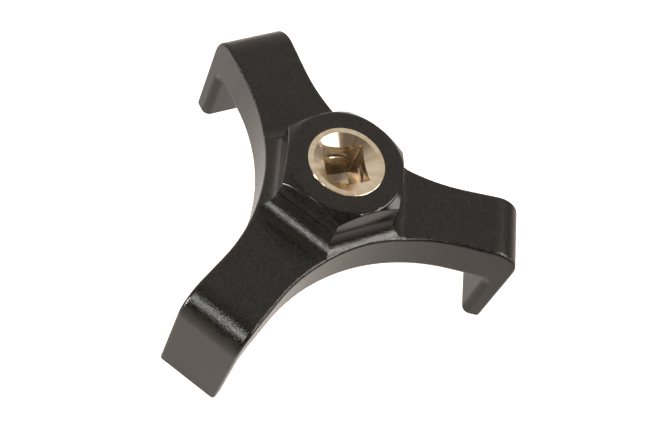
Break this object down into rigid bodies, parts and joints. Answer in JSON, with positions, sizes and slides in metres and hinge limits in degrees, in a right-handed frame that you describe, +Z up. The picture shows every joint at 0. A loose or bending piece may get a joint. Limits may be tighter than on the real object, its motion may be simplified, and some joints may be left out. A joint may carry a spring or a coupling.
{
  "type": "oil filter wrench",
  "caption": "Legged oil filter wrench: a black moulded spider with turned-down legs, a hexagon boss and a flush metal square-drive insert.",
  "frame": {"origin": "on the drive axis, in the plane of the three feet", "axes": "+Z up the drive axis, out of the square socket; one arm points along -Y"},
  "size_m": [0.0882, 0.0766, 0.0405],
  "materials": {
    "black_plastic": "satin moulded black, fine grain",
    "plated_metal": "bright turned pale-gold plating"
  },
  "bodies": {
    "root": {"spider_body": "black_plastic", "drive_insert": "plated_metal"}
  },
  "joints": []
}
